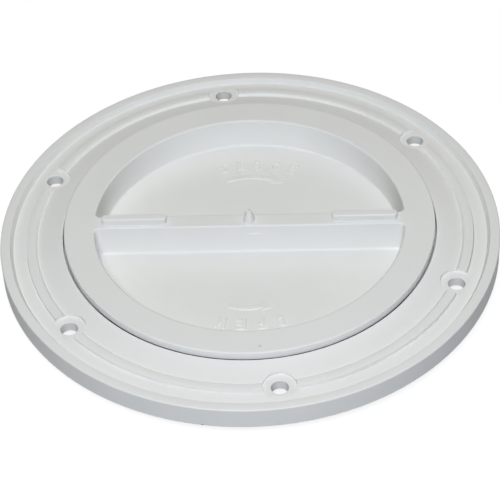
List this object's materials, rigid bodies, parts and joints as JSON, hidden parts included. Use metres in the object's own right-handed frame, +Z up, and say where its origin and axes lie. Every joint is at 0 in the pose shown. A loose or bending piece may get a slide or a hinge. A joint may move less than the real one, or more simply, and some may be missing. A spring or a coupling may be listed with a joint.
{
  "type": "inspection cover",
  "caption": "Round screw-in deck inspection cover: flanged ring with threaded neck, and a recessed lid with a handle bar that unscrews and lifts out.",
  "frame": {"origin": "centre of the flange's underside, in the plane that lies on the deck", "axes": "+Z up out of the deck along the screw axis; +Y towards one of the six screw holes"},
  "size_m": [0.15, 0.15, 0.0194],
  "materials": {
    "ring_plastic": "white moulded plastic with a satin surface",
    "lid_plastic": "white moulded plastic with a satin surface",
    "seal_rubber": "black moulded rubber"
  },
  "bodies": {
    "ring": {"deck_ring": "ring_plastic"},
    "seal": {"seal_ring": "seal_rubber"},
    "lid": {"lid": "lid_plastic"}
  },
  "joints": [
    {"name": "lid_rise", "type": "slide", "parent": "ring", "child": "seal", "axis": [0, 0, 1], "range_m": [0, 0.014]},
    {"name": "lid_turn", "type": "hinge", "parent": "seal", "child": "lid", "pos_m": [0, 0, 0], "axis": [0, 0, 1], "range_deg": [0, 1260]}
  ],
  "couplings": [
    {"joint": "lid_rise", "follows": "lid_turn", "m_per_rad": 0.00063662}
  ]
}
